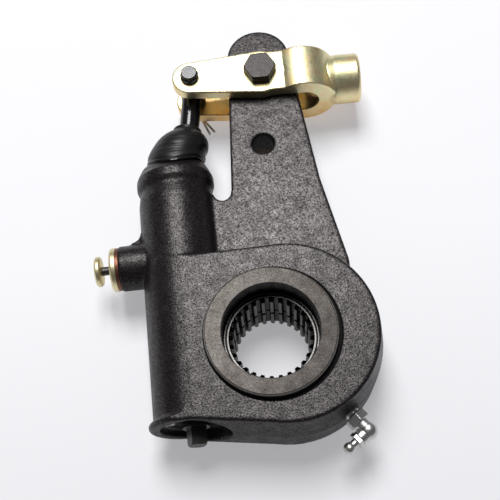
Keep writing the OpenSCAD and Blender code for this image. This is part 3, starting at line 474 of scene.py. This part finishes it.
def small_parts():
    """Turned and forged pieces with their edges broken. Each line: node, body, voxel in mm, passes."""
    for node, body, voxel, passes in (
            ("clevis", "clevis", 0.4, 8),
            ("clevis_bolt", "clevis", 0.2, 5),
            ("link_pin", "clevis", 0.15, 5),
            ("pawl_cap", "housing", 0.2, 4),
            ("pawl_button", "pawl", 0.15, 5),
            ("grease_elbow", "housing", 0.2, 8),
            ("grease_nipple", "housing", 0.12, 6)):
        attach(rounded(node, "rounded_" + node, voxel * MM, passes), body)


# Actuator rod: the CAD rod with a slight set, which straightens its upper half as in the photograph
ROD_SET = 1.5 * MM
SET_FROM, SET_FULL, SET_TO = 98 * MM, 120 * MM, 139 * MM


def rod_set(along):
    falling = np.clip((SET_TO - along) / (SET_TO - SET_FULL), 0, 1)
    return ROD_SET * smooth_step(along, SET_FROM, SET_FULL) * falling


def set_rod():
    made = rounded("actuator_rod", "set_rod", 0.3 * MM, 6)
    points = points_of(made.data)
    points[:, 0] += rod_set(points[:, 1])
    made.data.vertices.foreach_set("co", points.ravel())
    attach(made, "rod")


# Boot: rings from the foot up to the neck's lip, then back down inside. Each ring: centre x, centre y and
# radius in mm, tilt in degrees. The blend runs between two shares of the boot's height.
BOOT_OUTSIDE = (
    (-36.9, 98.7, 14.1, 0), (-36.9, 100.0, 14.1, 0), (-36.8, 100.9, 14.15, 1), (-36.5, 101.6, 14.5, 3),
    (-36.1, 102.5, 14.55, 6), (-35.6, 103.8, 14.25, 8), (-35.2, 104.9, 14.05, 8), (-34.5, 106.2, 13.85, 8),
    (-33.7, 107.6, 13.7, 8), (-32.9, 109.2, 13.3, 8), (-32.1, 110.7, 12.7, 8), (-31.4, 112.1, 11.8, 8),
    (-30.8, 113.4, 10.6, 8), (-30.2, 114.6, 9.1, 8), (-29.8, 115.6, 7.7, 8), (-29.6, 116.6, 6.8, 9),
    (-29.6, 117.5, 7.4, 9), (-29.5, 118.0, 7.0, 9))
BOOT_INSIDE = (
    (-28.6, 117.9, 5.4, 9), (-29.3, 115.1, 5.4, 9), (-31.3, 111.8, 9.2, 8), (-33.1, 108.4, 12.0, 8),
    (-34.9, 105.6, 12.3, 8), (-38.0, 104.0, 12.4, 0), (-38.0, 103.4, 12.85, 0), (-38.0, 98.7, 12.85, 0))
BOOT_BAND = (
    (-36.9, 99.3, 14.0, 0), (-36.9, 99.4, 14.5, 0), (-36.9, 100.5, 14.5, 0), (-36.9, 100.6, 14.0, 0))
BOOT_SIDES = 48
FOLD_AT, FOLD_HALF, FOLD_DEPTH = 104.9, 2.2, 0.9


def folded(y, radius, turn):
    """Radius less the fold in the side that faces the arm."""
    near = max(0, 1 - abs(y - FOLD_AT) / FOLD_HALF)
    return radius - FOLD_DEPTH * near * max(0, math.cos(turn)) ** 2


def lofted(name, rings, node):
    """A closed skin through rings of points, with the fold and the droop."""
    points = []
    for x, y, radius, tilt in rings:
        lean = math.radians(tilt)
        for i in range(BOOT_SIDES):
            turn = 2 * math.pi * i / BOOT_SIDES
            reach = folded(y, radius, turn)
            across = reach * math.cos(turn)
            height = reach * math.sin(turn)
            points.append((x + across * math.cos(lean), y - across * math.sin(lean), height))
    points = np.array(points) * MM
    droop(points)
    return moulded(name, points.tolist(), ring_faces(len(rings), BOOT_SIDES), node)


def rubber_boot():
    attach(lofted("boot_band", BOOT_BAND, "boot_clamp"), "housing")
    made = lofted("rubber_boot", BOOT_OUTSIDE + BOOT_INSIDE, "boot")
    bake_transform(made)


def pawl_coil():
    """The pawl's spring: a copy of the CAD spring with a mesh of its own, fixed to the housing."""
    made = new_object("pawl_coil", nodes["pawl_spring"].data.copy())
    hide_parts("pawl_spring")
    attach(made, "housing")
    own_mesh(made)


small_parts()
set_rod()
rubber_boot()
pawl_coil()
cast_housing()
bore_edge("upper_bore_edge", 1)
bore_edge("lower_bore_edge", -1)


# Floor: white card, a little darker towards the front, whose shadows are lifted by a glow of its own. The
# glow leaves out the spot seen through the arm's gauge hole, which is dark in the photograph.
EYE = Vector((-5.03, -132.9, 418.8)) * MM
FLOOR_GLOW = 0.36
FAR_GLOW = 0.9
GLOW_RISES = (0.4, 1.6)
# Radius of the painted shadow round the spot seen through the gauge hole.
GAUGE_SHADOW_RADIUS = 7 * MM
# Span in Y of the painted shade across the card.
FLOOR_SHADE_SPAN = (-0.12, 0.06)
FLOOR_REACH = 30.0


def spot_seen_through_gauge_hole():
    mounts = {mount["name"]: mount for mount in frame["record"]["mounts"]}
    hole = Vector(mounts["arm_gauge_hole"]["pos_m"])
    low = bounds_at_load[0].z
    return EYE + (hole - EYE) * (EYE.z - low) / (EYE.z - hole.z)


def floor_paint():
    made = Shader("floor_paint", (0.66, 0.66, 0.68), 0.0, 1.0, Specular_IOR_Level=0.0)
    # Painted shade: the card's colour darkens towards the front.
    front_shade = made.spread(made.coordinate("Y"), *FLOOR_SHADE_SPAN, 0.0, 1.0)
    made.into(made.ramp(front_shade, [(0.0, (0.56, 0.56, 0.58)), (1.0, (0.67, 0.67, 0.69))]), "Base Color")
    made.set("Emission Color", (0.97, 0.97, 1.0, 1))
    path = made.add("ShaderNodeLightPath")
    seen = made.math("MAXIMUM", path.outputs["Is Camera Ray"], path.outputs["Is Glossy Ray"])
    seen = made.math("MAXIMUM", seen, path.outputs["Is Transmission Ray"])
    # Painted shadow: the glow is left out round the spot seen through the gauge hole.
    from_spot = made.distance(spot_seen_through_gauge_hole())
    outside_gauge_shadow = made.spread(from_spot, GAUGE_SHADOW_RADIUS, 2 * GAUGE_SHADOW_RADIUS, 0, 1)
    glow = made.spread(made.from_axis(), *GLOW_RISES, FLOOR_GLOW, FAR_GLOW)
    made.into(made.math("MULTIPLY", seen, made.math("MULTIPLY", outside_gauge_shadow, glow)), "Emission Strength")
    return made.material


def floor():
    low = bounds_at_load[0].z
    corners = [(FLOOR_REACH * x, FLOOR_REACH * y, low) for x, y in ((-1, -1), (1, -1), (1, 1), (-1, 1))]
    mesh = bpy.data.meshes.new("floor")
    mesh.from_pydata(corners, [], [(0, 1, 2, 3)])
    made = new_object("floor", mesh)
    mesh.materials.append(floor_paint())


floor()


# Light: one broad panel, high and behind, where the upper faces mirror it to the camera, and a dim room
ROOM_LIGHT = 0.12


def panel(name, place, aim, width, height, watts):
    light = bpy.data.lights.new(name, "AREA")
    light.shape = "RECTANGLE"
    light.size = width
    light.size_y = height
    light.energy = watts
    made = bpy.data.objects.new(name, light)
    scene.collection.objects.link(made)
    made.location = place
    made.rotation_euler = (Vector(aim) - Vector(place)).to_track_quat("-Z", "Y").to_euler()


panel("overhead", place=(-0.08, 0.78, 1.65), aim=(0, 0.05, 0), width=0.7, height=0.9, watts=30.0)


def room():
    world = bpy.data.worlds.new("room")
    world.use_nodes = True
    back = world.node_tree.nodes["Background"]
    back.inputs["Color"].default_value = (0.95, 0.95, 1.0, 1)
    back.inputs["Strength"].default_value = ROOM_LIGHT
    scene.world = world


room()


# Camera, fitted to the photograph
LENS = 68.4
VIEW_RISE, VIEW_ROLL = 66.6, -6.7


def camera():
    lens = bpy.data.cameras.new("camera")
    lens.sensor_width = 36
    lens.lens = LENS
    lens.clip_start = 0.01
    made = bpy.data.objects.new("camera", lens)
    scene.collection.objects.link(made)
    tilt = math.radians(90 - VIEW_RISE)
    roll = math.radians(VIEW_ROLL)
    turn = Matrix.Rotation(tilt, 4, "X") @ Matrix.Rotation(roll, 4, "Z")
    made.matrix_world = Matrix.Translation(EYE) @ turn
    scene.camera = made


camera()
scene.view_settings.view_transform = "Standard"
